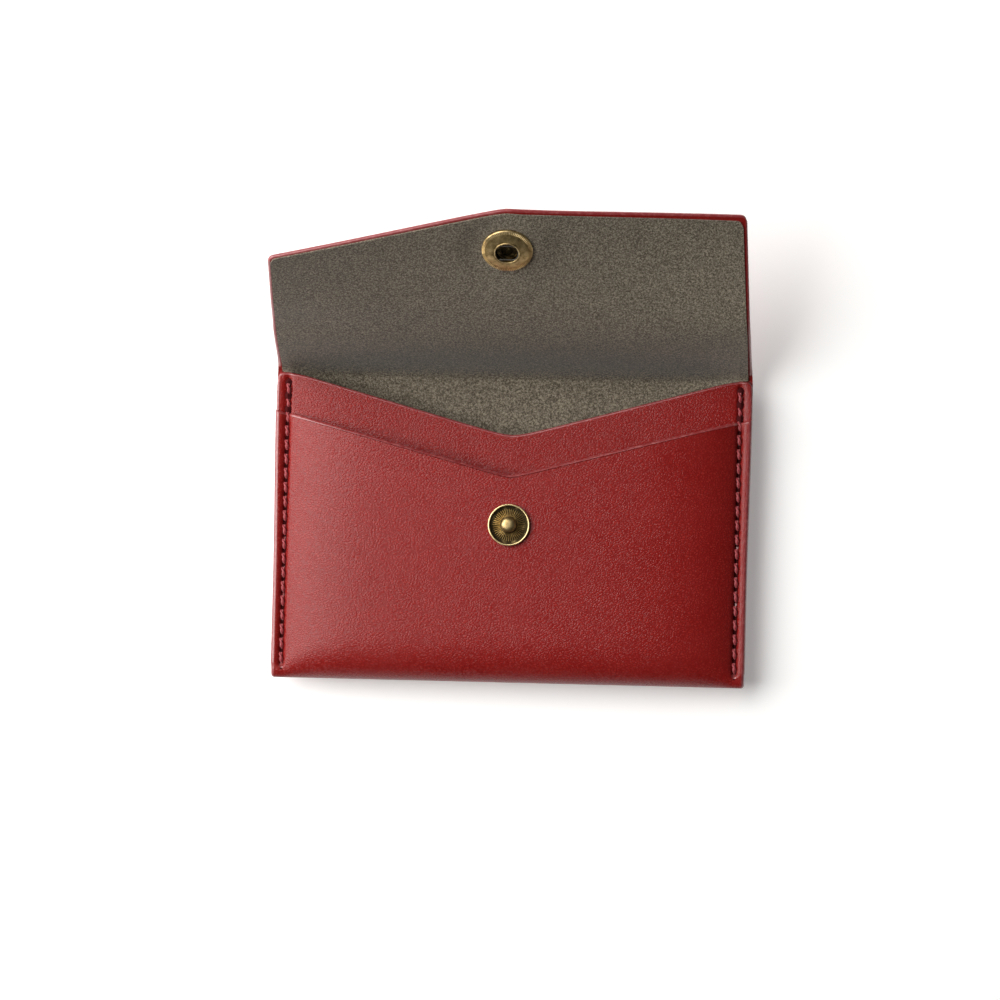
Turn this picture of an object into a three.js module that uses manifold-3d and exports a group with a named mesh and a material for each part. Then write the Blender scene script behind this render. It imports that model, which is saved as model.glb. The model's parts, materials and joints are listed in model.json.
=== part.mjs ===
// A small leather envelope wallet lying on its back, with its flap open.
// Millimetres, +X to the right, +Y towards the flap, +Z up.
// The origin is the middle of the back's flat outer face.
import * as THREE from 'three';
import { mergeVertices } from 'three/addons/utils/BufferGeometryUtils.js';
import Module from 'manifold-3d';

const wasm = await Module();
wasm.setup();

// Sheets
const leatherThickness = 1.05;
const liningThickness = 0.35;
const dividerThickness = 1.0;
const bondGap = 0.05;

// Body: a flat middle at front and back, flanks that draw in, and a flat sewn margin at each side
const bodyWidth = 108;
const bodyHeight = 69.5;
const pocketGap = 4.3;
const seamMargin = 3;
const flankRun = 7.7;
const liningSkive = 2.2;
const liningEdgeInset = 0.15;

// Top edges of the two pockets, as heights above the bottom of the wallet
const frontCornerHeight = 60.8;
const frontNotchHeight = 47;
const dividerNotchHeight = 56.5;
const dividerCornerFlat = 5.5;
const notchRounding = 2.5;
const cornerRounding = 1.25;
const dividerSeat = 0.1;

// Side seams
const stitchInset = 2;
const stitchStart = 2.6;
const stitchPitch = 3.26;
const stitchEnd = 1.5;
const threadWidth = 0.6;
const threadHeight = 0.4;
const legWidth = 0.4;
const needleClearance = 0.1;
const threadSeat = 0.05;

// Spine and flap
const spineFoldRadius = 2.4;
const spineEdgeFlat = 0.2;
const creaseClearance = 0.3;
const flapAngle = 45;
const flapTipReach = 10.8;
const flapTipSlope = 9;
const flapTaper = 1;

// Twist of the open flap: how far each corner stands off its plane, towards the lining
const leftCornerLift = 3.2;
const rightCornerLift = -6.5;
const twistStart = 3.6;
const twistEase = 7;
const twistBend = 1.25;
const snapFlat = 9.5;
const snapFlatEase = 6;

// Snap
const studHeight = 35.6;
const studRadius = 4.8;
const studRimHeight = 0.55;
const studRimWidth = 0.55;
const dishFloor = 0.2;
const neckRadius = 1.2;
const neckFootRadius = 2;
const ballRadius = 1.6;
const ballHalfHeight = 0.95;
const ballCentre = 1.6;
const postRadius = 0.8;
const postDepth = 1.5;
const postFlangeRadius = 3.5;
const postFlangeThickness = 0.3;
const socketRadius = 5.75;
const socketEdgeHeight = 0.8;
const socketHeight = 2.5;
const socketHoleRadius = 2.45;
const socketLipWidth = 0.6;
const socketPlate = 0.3;
const wireRadius = 0.2;
const wireOffset = 1.95;
const wireHeight = 2;
const wireLoopRadius = 2.72;
const capRadius = 6.2;
const capEdge = 0.35;
const capDome = 1.3;
const capTubeRadius = 1.9;
const capTubeWall = 0.5;
const capFlareWidth = 0.4;
const capFlareThickness = 0.2;
const snapSeat = 0.05;
const snapClearance = 0.15;

// Places that follow from those sizes
const halfWidth = bodyWidth / 2;
const bottomY = -bodyHeight / 2;
const topY = bodyHeight / 2;
const linedThickness = leatherThickness + bondGap + liningThickness;
const middleZ = linedThickness + pocketGap + dividerThickness / 2;
const seamHalf = dividerThickness / 2 + bondGap + leatherThickness;
const frontZ = 2 * middleZ;
const seamEdge = halfWidth - seamMargin;
const liningEdge = seamEdge - liningSkive;
const stitchX = halfWidth - stitchInset;
const studY = bottomY + studHeight;
const halfFlap = linedThickness / 2;
const creaseY = topY + spineFoldRadius - halfFlap;
const creaseZ = frontZ + snapSeat + dishFloor + snapClearance + socketHeight + snapSeat + halfFlap;
const flapStart = halfFlap + creaseClearance;
const socketReach = creaseY - studY;
const flapTip = socketReach + flapTipReach;
const flapEnd = halfWidth - flapTaper;
const flapSlope = Math.tan(THREE.MathUtils.degToRad(flapTipSlope));
const flapCorner = flapTip - flapEnd * flapSlope;
const leatherFace = -halfFlap;
const liningFace = halfFlap;

const leatherRed = new THREE.MeshStandardMaterial({ color: '#8c2b2a', roughness: 0.5, metalness: 0 });
const liningGrey = new THREE.MeshStandardMaterial({ color: '#645f56', roughness: 0.95, metalness: 0 });
const threadRed = new THREE.MeshStandardMaterial({ color: '#6d1a1e', roughness: 0.7, metalness: 0 });
const antiqueBrass = new THREE.MeshStandardMaterial({ color: '#85703f', roughness: 0.4, metalness: 1 });
const springSteel = new THREE.MeshStandardMaterial({ color: '#3a3a3a', roughness: 0.45, metalness: 1 });

const wallet = new THREE.Group();
const flap = new THREE.Group();
flap.position.set(0, creaseY, creaseZ);
flap.rotation.x = THREE.MathUtils.degToRad(flapAngle);
wallet.add(flap);

// Six times the signed volume of a closed triangle mesh
function signedVolume(geometry) {
  const points = geometry.getAttribute('position');
  const index = geometry.index.array;
  const [a, b, c] = [new THREE.Vector3(), new THREE.Vector3(), new THREE.Vector3()];
  let total = 0;
  for (let i = 0; i < index.length; i += 3) {
    a.fromBufferAttribute(points, index[i]);
    b.fromBufferAttribute(points, index[i + 1]);
    c.fromBufferAttribute(points, index[i + 2]);
    total += a.dot(b.cross(c));
  }
  return total;
}

// Positions only, shared vertices merged, faces pointing out
function closed(source) {
  const plain = source.clone();
  plain.deleteAttribute('normal');
  plain.deleteAttribute('uv');
  const geometry = mergeVertices(plain, 1e-4);
  if (signedVolume(geometry) < 0) {
    geometry.setIndex(Array.from(geometry.index.array).reverse());
  }
  return geometry;
}

function solidOf(source) {
  const geometry = closed(source);
  return new wasm.Manifold(new wasm.Mesh({
    numProp: 3,
    vertProperties: Float32Array.from(geometry.getAttribute('position').array),
    triVerts: Uint32Array.from(geometry.index.array),
  }));
}

function geometryOf(solid) {
  const mesh = solid.getMesh();
  const geometry = new THREE.BufferGeometry();
  geometry.setAttribute('position', new THREE.BufferAttribute(Float32Array.from(mesh.vertProperties), 3));
  geometry.setIndex(Array.from(mesh.triVerts));
  return geometry;
}

function joined(geometries) {
  return geometries.map(solidOf).reduce((whole, next) => whole.add(next));
}

function cut(source, cutters) {
  return geometryOf(solidOf(source).subtract(joined(cutters)));
}

function addPiece(group, name, geometry, material) {
  const shape = closed(geometry);
  shape.computeVertexNormals();
  const mesh = new THREE.Mesh(shape, material);
  mesh.name = name;
  group.add(mesh);
}

function box(xSize, ySize, zSize, x, y, z) {
  return new THREE.BoxGeometry(xSize, ySize, zSize).translate(x, y, z);
}

// A round piece about the Z axis from [radius, height] pairs
function turned(profile, segments) {
  const points = profile.map(([radius, height]) => new THREE.Vector2(radius, height));
  return new THREE.LatheGeometry(points, segments).rotateX(Math.PI / 2);
}

function roundRod(radius, length, x, y, z) {
  return new THREE.CylinderGeometry(radius, radius, length, 24).rotateX(Math.PI / 2).translate(x, y, z);
}

// A flat outline from [x, y, rounding] corners
function outline(corners) {
  const shape = new THREE.Shape();
  corners.forEach(([x, y, rounding], i) => {
    const corner = new THREE.Vector2(x, y);
    const towards = (other) => new THREE.Vector2(other[0], other[1]).sub(corner).setLength(rounding);
    const enter = towards(corners.at(i - 1)).add(corner);
    const leave = towards(corners[(i + 1) % corners.length]).add(corner);
    if (i === 0) {
      shape.moveTo(enter.x, enter.y);
    } else {
      shape.lineTo(enter.x, enter.y);
    }
    if (rounding > 0) {
      shape.quadraticCurveTo(x, y, leave.x, leave.y);
    }
  });
  shape.closePath();
  return shape;
}

function plate(shape, thickness, z) {
  const settings = { depth: thickness, bevelEnabled: false, curveSegments: 4 };
  return new THREE.ExtrudeGeometry(shape, settings).translate(0, 0, z);
}

// Values from one to another in even steps
function evenly(from, to, steps) {
  return Array.from({ length: steps + 1 }, (_, i) => from + ((to - from) * i) / steps);
}

// A curved sheet between two skins, each given as skin(x, row) for the columns and rows of one grid
function sheet(columns, rows, skinA, skinB) {
  const across = columns.length;
  const grid = (skin) => columns.flatMap((x) => rows.flatMap((row) => [x, ...skin(x, row)]));
  const geometry = new THREE.BufferGeometry();
  const points = [...grid(skinA), ...grid(skinB)];
  geometry.setAttribute('position', new THREE.Float32BufferAttribute(points, 3));
  const at = (side, i, j) => side * across * rows.length + i * rows.length + j;
  const index = [];
  const quad = (a, b, c, d) => index.push(a, b, c, a, c, d);
  for (let i = 0; i + 1 < across; i += 1) {
    for (let j = 0; j + 1 < rows.length; j += 1) {
      quad(at(0, i, j), at(0, i + 1, j), at(0, i + 1, j + 1), at(0, i, j + 1));
      quad(at(1, i, j), at(1, i, j + 1), at(1, i + 1, j + 1), at(1, i + 1, j));
    }
  }
  const last = rows.length - 1;
  for (let i = 0; i + 1 < across; i += 1) {
    quad(at(0, i, 0), at(1, i, 0), at(1, i + 1, 0), at(0, i + 1, 0));
    quad(at(0, i, last), at(0, i + 1, last), at(1, i + 1, last), at(1, i, last));
  }
  for (let j = 0; j < last; j += 1) {
    quad(at(0, 0, j), at(0, 0, j + 1), at(1, 0, j + 1), at(1, 0, j));
    quad(at(0, across - 1, j), at(1, across - 1, j), at(1, across - 1, j + 1), at(0, across - 1, j + 1));
  }
  geometry.setIndex(index);
  return geometry;
}

// Half the outer thickness of the body at x: full in the middle, a thin sewn stack at the sides
function outerHalf(x) {
  const inward = THREE.MathUtils.clamp((seamEdge - Math.abs(x)) / flankRun, 0, 1);
  return seamHalf + (middleZ - seamHalf) * THREE.MathUtils.smoothstep(inward, 0, 1);
}

// Height of a V-shaped edge at x, with its point rounded
function notch(x, low, high, reach) {
  const slope = (high - low) / reach;
  return low + slope * (Math.hypot(x, notchRounding) - notchRounding);
}

function frontTop(x) {
  return bottomY + notch(x, frontNotchHeight, frontCornerHeight, halfWidth);
}

// Columns of the body's sheets, from side to side
function columnsWithin(limit) {
  const flank = [1, 2].map((step) => liningEdge - ((flankRun - liningSkive) * step) / 3);
  const middle = [notchRounding / 2, 2 * notchRounding, seamEdge - flankRun];
  const right = [...middle, ...flank, liningEdge, seamEdge, halfWidth];
  const kept = right.filter((x) => x <= limit).sort((a, b) => a - b);
  return [...kept.map((x) => -x).reverse(), 0, ...kept];
}

const leatherColumns = columnsWithin(halfWidth);
const liningColumns = columnsWithin(liningEdge);

// Depths of a sheet's two skins below the wallet's outer surface
const leatherDepths = [0, leatherThickness];
const liningDepths = [leatherThickness + bondGap, linedThickness];

// Straight stretch of the body's wall: side is 1 at the front and -1 at the back
function wall(columns, depths, side, endAt) {
  const skins = depths.map((depth) => (x, row) => [
    row === 0 ? bottomY + outerHalf(x) : endAt(x),
    middleZ + side * (outerHalf(x) - depth),
  ]);
  return sheet(columns, [0, 1], ...skins);
}

// Half-round turn of the wall at the bottom, from the back to the front
function bottomTurn(columns, depths) {
  const rows = evenly(-Math.PI / 2, -1.5 * Math.PI, 8);
  const skins = depths.map((depth) => (x, angle) => {
    const outer = outerHalf(x);
    const radius = outer - depth;
    return [bottomY + outer + radius * Math.cos(angle), middleZ + radius * Math.sin(angle)];
  });
  return sheet(columns, rows, ...skins);
}

// The wall turned up behind the pockets, ending in a round edge beside the crease
function spineTurn(depths) {
  const quarter = evenly(0, Math.PI / 2, 4);
  const bend = quarter.map((angle) => ({ angle, atCrease: false }));
  const edge = quarter.map((angle) => ({ angle, atCrease: true }));
  const edgeRadius = (depths[1] - depths[0]) / 2;
  const edgeY = topY + spineFoldRadius - (depths[0] + depths[1]) / 2;
  const skins = depths.map((depth, inside) => (x, { angle, atCrease }) => {
    if (atCrease) {
      const away = edgeRadius * Math.max(Math.cos(angle), spineEdgeFlat);
      return [inside ? edgeY - away : edgeY + away, creaseZ + edgeRadius * Math.sin(angle)];
    }
    const radius = spineFoldRadius - depth;
    const bendZ = middleZ - outerHalf(x) + spineFoldRadius;
    return [topY + radius * Math.sin(angle), bendZ - radius * Math.cos(angle)];
  });
  return sheet(leatherColumns, [...bend, ...edge], ...skins);
}

// Needle holes up one side, as heights in Y
const needleRows = [];
for (let y = bottomY + stitchStart; y <= topY - stitchEnd; y += stitchPitch) {
  needleRows.push(y);
}

function needleHoles() {
  const width = legWidth + 2 * needleClearance;
  const depth = 2 * (seamHalf + leatherThickness);
  const row = (x) => needleRows.map((y) => box(width, width, depth, x, y, middleZ));
  return [...row(-stitchX), ...row(stitchX)];
}

// Upper thread: it lies on the front panel, then steps down to the divider above the pocket's corner
function frontThread(side) {
  const x = side * stitchX;
  const first = needleRows[0];
  const last = needleRows.at(-1);
  const stepY = bottomY + frontCornerHeight + threadSeat + threadWidth / 2;
  const highZ = middleZ + seamHalf + threadSeat;
  const lowZ = middleZ + dividerThickness / 2 + threadSeat;
  const lock = middleZ + threadSeat;
  const run = (from, to, z) => {
    const length = to - from + threadWidth;
    return box(threadWidth, length, threadHeight, x, (from + to) / 2, z + threadHeight / 2);
  };
  const legs = needleRows.map((y) => {
    const top = (y < stepY ? highZ : lowZ) + threadHeight / 2;
    return box(legWidth, legWidth, top - lock, x, y, (top + lock) / 2);
  });
  if (last < stepY) {
    return geometryOf(joined([run(first, last, highZ), ...legs]));
  }
  const upright = highZ + threadHeight - lowZ;
  const step = box(threadWidth, threadWidth, upright, x, stepY, lowZ + upright / 2);
  return geometryOf(joined([run(first, stepY, highZ), run(stepY, last, lowZ), step, ...legs]));
}

// Lower thread: it lies under the back panel's sewn margin
function backThread(side) {
  const x = side * stitchX;
  const first = needleRows[0];
  const last = needleRows.at(-1);
  const faceZ = middleZ - seamHalf - threadSeat;
  const lock = middleZ - threadSeat;
  const base = faceZ - threadHeight / 2;
  const length = last - first + threadWidth;
  const run = box(threadWidth, length, threadHeight, x, (first + last) / 2, base);
  const legs = needleRows.map((y) => box(legWidth, legWidth, lock - base, x, y, (lock + base) / 2));
  return geometryOf(joined([run, ...legs]));
}

function dividerShape() {
  const low = bottomY + seamHalf + dividerSeat;
  const high = topY - dividerSeat;
  const shoulder = halfWidth - dividerCornerFlat;
  return outline([
    [-halfWidth, low, 0],
    [halfWidth, low, 0],
    [halfWidth, high, cornerRounding],
    [shoulder, high, cornerRounding],
    [0, bottomY + dividerNotchHeight, notchRounding],
    [-shoulder, high, cornerRounding],
    [-halfWidth, high, cornerRounding],
  ]);
}

// Pointed flap in its own plane: x across, y away from the crease
function flapShape(inset) {
  const root = halfWidth - inset;
  const end = flapEnd - inset;
  const tip = flapTip - inset;
  const corner = tip - end * flapSlope;
  const shape = outline([
    [-root, flapStart, 0],
    [root, flapStart, 0],
    [end, corner, cornerRounding],
    [0, tip, notchRounding],
    [-end, corner, cornerRounding],
  ]);
  const hole = new THREE.Path();
  hole.absarc(0, socketReach, capTubeRadius + snapClearance, 0, 2 * Math.PI, true);
  shape.holes.push(hole);
  return shape;
}

// Height off the flap's plane: none along the crease and round the snap, most at the corners
function flapTwist(x, reach) {
  const past = Math.max(reach - twistStart, 0);
  const run = past < twistEase ? past ** 2 / (2 * twistEase) : past - twistEase / 2;
  const cornerRun = flapCorner - twistStart - twistEase / 2;
  const fromSnap = Math.hypot(x, reach - socketReach) - snapFlat;
  const clear = THREE.MathUtils.smoothstep(fromSnap, 0, snapFlatEase);
  const share = (Math.abs(x) / flapEnd) ** twistBend;
  return (x < 0 ? leftCornerLift : rightCornerLift) * share * clear * (run / cornerRun);
}

// One twisted sheet of the flap, between two levels of its plane
function flapSheet(inset, low, high) {
  const columns = evenly(-halfWidth - flapTaper, halfWidth + flapTaper, 16);
  const lower = evenly(twistStart, socketReach, 5);
  const upper = evenly(socketReach, flapTip + flapTaper, 2).slice(1);
  const rows = [0, ...lower, ...upper];
  const skins = [low, high].map((level) => (x, reach) => [reach, level + flapTwist(x, reach)]);
  const trim = plate(flapShape(inset), 2 * flapTipReach, -flapTipReach);
  return geometryOf(solidOf(sheet(columns, rows, ...skins)).intersect(solidOf(trim)));
}

// Leather sheet, split at its folds
const stitchHoles = needleHoles();
const studHole = roundRod(postRadius + snapClearance, frontZ, 0, studY, frontZ);
const flangeHole = roundRod(postFlangeRadius + snapClearance, frontZ, 0, studY, frontZ);
const backEnd = () => topY;
const liningTop = (x) => frontTop(x) - liningEdgeInset;
const frontSheet = wall(leatherColumns, leatherDepths, 1, frontTop);
const backSheet = wall(leatherColumns, leatherDepths, -1, backEnd);
addPiece(wallet, 'front_panel', cut(frontSheet, [...stitchHoles, studHole]), leatherRed);
addPiece(wallet, 'bottom_fold', bottomTurn(leatherColumns, leatherDepths), leatherRed);
addPiece(wallet, 'back_panel', cut(backSheet, stitchHoles), leatherRed);
addPiece(wallet, 'spine', spineTurn(leatherDepths), leatherRed);
addPiece(flap, 'flap_panel', flapSheet(0, leatherFace, leatherFace + leatherThickness), leatherRed);

// Lining bonded inside it
const frontLining = wall(liningColumns, liningDepths, 1, liningTop);
addPiece(wallet, 'front_lining', cut(frontLining, [flangeHole]), liningGrey);
addPiece(wallet, 'fold_lining', bottomTurn(liningColumns, liningDepths), liningGrey);
addPiece(wallet, 'back_lining', wall(liningColumns, liningDepths, -1, backEnd), liningGrey);
addPiece(wallet, 'spine_lining', spineTurn(liningDepths), liningGrey);
const flapLining = flapSheet(liningEdgeInset, liningFace - liningThickness, liningFace);
addPiece(flap, 'flap_lining', flapLining, liningGrey);

// Divider between the pockets
const dividerSheet = plate(dividerShape(), dividerThickness, middleZ - dividerThickness / 2);
addPiece(wallet, 'divider_panel', cut(dividerSheet, stitchHoles), leatherRed);

// Lockstitch threads
[['left', -1], ['right', 1]].forEach(([name, side]) => {
  addPiece(wallet, `${name}_front_thread`, frontThread(side), threadRed);
  addPiece(wallet, `${name}_back_thread`, backThread(side), threadRed);
});

// Stud on the front panel: a dish with a ball on a neck, hollow for the post
function studProfile() {
  const steps = 5;
  const neckAngle = -Math.acos(neckRadius / ballRadius);
  const ball = Array.from({ length: steps + 1 }, (_, i) => {
    const angle = neckAngle + ((Math.PI / 2 - neckAngle) * i) / steps;
    return [ballRadius * Math.cos(angle), ballCentre + ballHalfHeight * Math.sin(angle)];
  });
  const neckTop = ball[0][1];
  const boreRadius = postRadius + snapClearance;
  const rimInside = studRadius - studRimWidth;
  return [
    [0, postDepth + snapClearance],
    [boreRadius, postDepth + snapClearance],
    [boreRadius, 0],
    [studRadius, 0],
    [studRadius, studRimHeight],
    [rimInside, studRimHeight],
    [rimInside - dishFloor, dishFloor],
    [neckFootRadius, dishFloor],
    [neckRadius, (dishFloor + neckTop) / 2],
    ...ball.slice(0, -1),
    [0, ballCentre + ballHalfHeight],
  ];
}

const stud = turned(studProfile(), 24).translate(0, studY, frontZ + snapSeat);
addPiece(wallet, 'snap_stud', stud, antiqueBrass);

// Post that holds the stud from inside, its flange level with the lining
const postBase = frontZ - leatherThickness - snapSeat - postFlangeThickness;
const postTop = frontZ + snapSeat + postDepth;
const postProfile = [
  [0, postBase],
  [postFlangeRadius, postBase],
  [postFlangeRadius, postBase + postFlangeThickness],
  [postRadius, postBase + postFlangeThickness],
  [postRadius, postTop],
  [0, postTop],
];
addPiece(wallet, 'stud_post', turned(postProfile, 20).translate(0, studY, 0), antiqueBrass);

// Socket on the flap's lining: a serrated flange that rises to a lip round the hole
const socketBase = liningFace + snapSeat;
const tubeHole = capTubeRadius + snapClearance;
const wireGroove = wireRadius + snapSeat;
const grooveRadius = wireLoopRadius + wireGroove;
const lipRadius = socketHoleRadius + socketLipWidth;
const socketShoulder = lipRadius + socketLipWidth / 2;
const socketProfile = [
  [tubeHole, 0],
  [socketRadius, 0],
  [socketRadius, socketEdgeHeight],
  [socketShoulder, wireHeight - wireGroove],
  [lipRadius + wireRadius / 2, socketHeight],
  [socketHoleRadius, socketHeight],
  [socketHoleRadius, wireHeight + wireGroove],
  [grooveRadius, wireHeight + wireGroove],
  [grooveRadius, wireHeight - wireGroove],
  [socketHoleRadius, wireHeight - wireGroove],
  [socketHoleRadius, socketPlate],
  [tubeHole, socketPlate],
  [tubeHole, 0],
];
addPiece(flap, 'snap_socket', turned(socketProfile, 24).translate(0, socketReach, socketBase), antiqueBrass);

// One wire bent into a hairpin, with a straight run on each side of the hole
function springWire() {
  const runEnd = Math.sqrt(wireLoopRadius ** 2 - wireOffset ** 2);
  const bend = Math.atan2(wireOffset, runEnd);
  const onLoop = (angle) => new THREE.Vector3(Math.cos(angle), Math.sin(angle), 0).setLength(wireLoopRadius);
  const points = [
    new THREE.Vector3(-runEnd, wireOffset, 0),
    new THREE.Vector3(0, wireOffset, 0),
    ...evenly(bend, -bend, 4).map(onLoop),
    new THREE.Vector3(0, -wireOffset, 0),
    new THREE.Vector3(-runEnd, -wireOffset, 0),
  ];
  const section = new THREE.Shape();
  section.absarc(0, 0, wireRadius, 0, 2 * Math.PI, false);
  const extrudePath = new THREE.CatmullRomCurve3(points, false, 'centripetal');
  return new THREE.ExtrudeGeometry(section, { steps: 20, curveSegments: 6, extrudePath });
}

const wireBase = socketBase + wireHeight;
addPiece(flap, 'socket_spring', springWire().translate(0, socketReach, wireBase), springSteel);

// Domed cap on the flap's outside, its tube through the flap and flared inside the socket
function capProfile() {
  const steps = 4;
  const base = leatherFace - snapSeat;
  const bore = capTubeRadius - capTubeWall;
  const flare = socketBase + socketPlate + snapSeat;
  const dome = Array.from({ length: steps }, (_, i) => {
    const angle = ((i + 1) * Math.PI) / (2 * steps);
    return [capRadius * Math.sin(angle), base - capEdge - capDome * Math.cos(angle)];
  });
  return [
    [0, base - capEdge - capDome],
    ...dome,
    [capRadius, base],
    [capTubeRadius, base],
    [capTubeRadius, flare],
    [capTubeRadius + capFlareWidth, flare],
    [capTubeRadius + capFlareWidth, flare + capFlareThickness],
    [bore, flare + capFlareThickness],
    [bore, base],
    [0, base],
  ];
}

addPiece(flap, 'snap_cap', turned(capProfile(), 24).translate(0, socketReach, 0), antiqueBrass);

export default wallet;
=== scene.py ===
import json
import math

import bmesh
import bpy
from mathutils import Matrix, Vector


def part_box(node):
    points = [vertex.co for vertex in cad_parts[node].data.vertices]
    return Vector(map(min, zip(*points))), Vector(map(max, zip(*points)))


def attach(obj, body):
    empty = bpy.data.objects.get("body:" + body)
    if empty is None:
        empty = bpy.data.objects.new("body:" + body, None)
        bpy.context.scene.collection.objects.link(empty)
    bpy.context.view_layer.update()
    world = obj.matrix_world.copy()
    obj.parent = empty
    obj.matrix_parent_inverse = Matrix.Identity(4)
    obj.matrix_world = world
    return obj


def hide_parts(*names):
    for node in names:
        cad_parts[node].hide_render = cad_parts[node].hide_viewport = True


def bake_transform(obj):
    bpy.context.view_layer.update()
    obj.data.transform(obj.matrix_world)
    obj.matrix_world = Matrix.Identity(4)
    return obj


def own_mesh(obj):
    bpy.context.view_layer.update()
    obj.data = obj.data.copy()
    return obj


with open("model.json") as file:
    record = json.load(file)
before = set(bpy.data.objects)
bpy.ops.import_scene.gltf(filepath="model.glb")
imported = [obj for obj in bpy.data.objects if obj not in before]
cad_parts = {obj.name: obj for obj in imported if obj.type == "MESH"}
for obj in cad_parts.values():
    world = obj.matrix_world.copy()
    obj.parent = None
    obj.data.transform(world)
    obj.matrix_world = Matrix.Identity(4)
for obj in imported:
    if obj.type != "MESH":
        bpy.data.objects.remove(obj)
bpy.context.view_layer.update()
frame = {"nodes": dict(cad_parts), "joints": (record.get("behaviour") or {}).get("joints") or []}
mm = 0.001
print("frame loaded:", len(frame["nodes"]), "nodes")

# places taken from the frame
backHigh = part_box("back_panel")[1]
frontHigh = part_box("front_panel")[1]
dividerLow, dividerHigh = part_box("divider_panel")
threadLow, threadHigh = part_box("right_front_thread")
studLow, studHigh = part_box("snap_stud")
hinge = frame["joints"][0]
creasePoint = Vector(hinge["pos_m"])
flapAngle = math.pi - math.radians(hinge["range_deg"][1])   # above level at rest
flapAlong = Vector((0, math.cos(flapAngle), math.sin(flapAngle)))
flapFacing = Vector((0, -math.sin(flapAngle), math.cos(flapAngle)))   # out of the lining
halfWidth = backHigh.x
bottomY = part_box("bottom_fold")[0].y
topY = backHigh.y
frontZ = frontHigh.z
middleZ = frontZ / 2
studY = (studLow.y + studHigh.y) / 2
socketReach = creasePoint.y - studY

sheets = {
    "leather": 1.05 * mm,
    "lining": 0.35 * mm,
    "glue": 0.05 * mm,
    "divider": 1.0 * mm,
    "liningInset": 0.75 * mm,   # the lining stops short of the painted edge
}
linedThickness = sheets["leather"] + sheets["glue"] + sheets["lining"]
halfLined = linedThickness / 2
seamHalf = sheets["divider"] / 2 + sheets["glue"] + sheets["leather"]


def clamp(value):
    return min(max(value, 0.0), 1.0)


def smooth(value):
    t = clamp(value)
    return t * t * (3 - 2 * t)


def spaced(low, high, count):
    return [low + (high - low) * i / (count - 1) for i in range(count)]


def bell(distance, width):
    return math.exp(-(distance / width) ** 2)


# shader maths: a socket that adds Math nodes as it is used in an expression
class Wire:
    def __init__(self, tree, socket):
        self.tree = tree
        self.socket = socket

    def math(self, operation, first, second):
        node = self.tree.nodes.new("ShaderNodeMath")
        node.operation = operation
        plug(self.tree, node.inputs[0], first)
        plug(self.tree, node.inputs[1], second)
        return Wire(self.tree, node.outputs[0])

    def __add__(self, other):
        return self.math("ADD", self, other)

    def __sub__(self, other):
        return self.math("SUBTRACT", self, other)

    def __rsub__(self, other):
        return self.math("SUBTRACT", other, self)

    def __mul__(self, other):
        return self.math("MULTIPLY", self, other)

    __radd__ = __add__


def plug(tree, socket, value):
    if isinstance(value, Wire):
        tree.links.new(value.socket, socket)
    elif socket.type == "RGBA":
        socket.default_value = (*value[:3], 1)
    else:
        socket.default_value = value


# one material: every node comes from node(), and surface() ends it
class Finish:
    def __init__(self, name):
        self.material = bpy.data.materials.new(name)
        self.material.use_nodes = True
        self.tree = self.material.node_tree
        self.tree.nodes.clear()
        self.place = self.node("ShaderNodeTexCoord", output="Object")

    def node(self, kind, settings=None, sockets=None, output=0):
        made = self.tree.nodes.new(kind)
        for key, value in (settings or {}).items():
            if key == "stops":
                self.rampStops(made.color_ramp, value)
            else:
                setattr(made, key, value)
        for key, value in (sockets or {}).items():
            plug(self.tree, made.inputs[key], value)
        return Wire(self.tree, made.outputs[output]) if made.outputs else None

    def rampStops(self, ramp, stops):
        while len(ramp.elements) < len(stops):
            ramp.elements.new(0.5)
        for element, (position, colour) in zip(ramp.elements, stops):
            element.position = position
            element.color = (*colour, 1)

    def noise(self, texture):
        size, detail, rough = texture
        sockets = {"Vector": self.place, "Scale": 1 / size, "Detail": detail, "Roughness": rough}
        return self.node("ShaderNodeTexNoise", None, sockets, "Fac")

    def ramp(self, value, stops):
        return self.node("ShaderNodeValToRGB", {"stops": stops}, {"Fac": value}, "Color")

    def shareRamp(self, value, stops):
        return self.ramp(value, [(position, (share,) * 3) for position, share in stops])

    def mix(self, share, first, second, blend="MIX"):
        settings = {"data_type": "RGBA", "blend_type": blend}
        return self.node("ShaderNodeMix", settings, {0: share, 6: first, 7: second}, 2)

    def bump(self, height, depth, strength):
        sockets = {"Height": height, "Distance": depth, "Strength": strength}
        return self.node("ShaderNodeBump", None, sockets)

    def surface(self, **sockets):
        named = {key.replace("_", " "): value for key, value in sockets.items()}
        shader = self.node("ShaderNodeBsdfPrincipled", None, named)
        self.node("ShaderNodeOutputMaterial", None, {"Surface": shader})
        return self.material


# in every look, a texture is (size, detail, roughness) and a share ramp is a list of (value, share)
leatherLook = {
    "body": (0.240, 0.0078, 0.0062),
    # crease is painted shade: the grain's creases drawn darker where shade falls
    "crease": (0.140, 0.004, 0.0035),
    "worn": (0.32, 0.024, 0.020),
    # painted highlight: the tops of the grain drawn lighter, as if catching the light
    "ridgeHighlight": (0.35, 0.028, 0.022),
    "grainLength": 0.75 * mm,
    "grainWidth": 0.42 * mm,
    "grainTurn": math.radians(-40),
    "grainDepth": 0.11 * mm,
    "grainBump": 0.6,
    "wander": 0.8 * mm,
    "wanderSize": 4 * mm,
    "fine": (0.3 * mm, 2.0, 0.6),
    "patches": (9 * mm, 3.0, 0.55),
    "pebbleEdge": 0.3,
    "fineShare": 0.4,
    "creaseShadeShare": [(0.0, 0.5), (0.16, 0)],
    "ridgeHighlightShare": [(0.36, 0), (0.60, 0.6)],
    "patchWear": [(0.35, 0), (0.75, 0.14)],
    "roughness": 0.30,
    "fineRough": 0.12,
    "patchRough": 0.1,
    "specular": 0.35,
}


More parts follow.
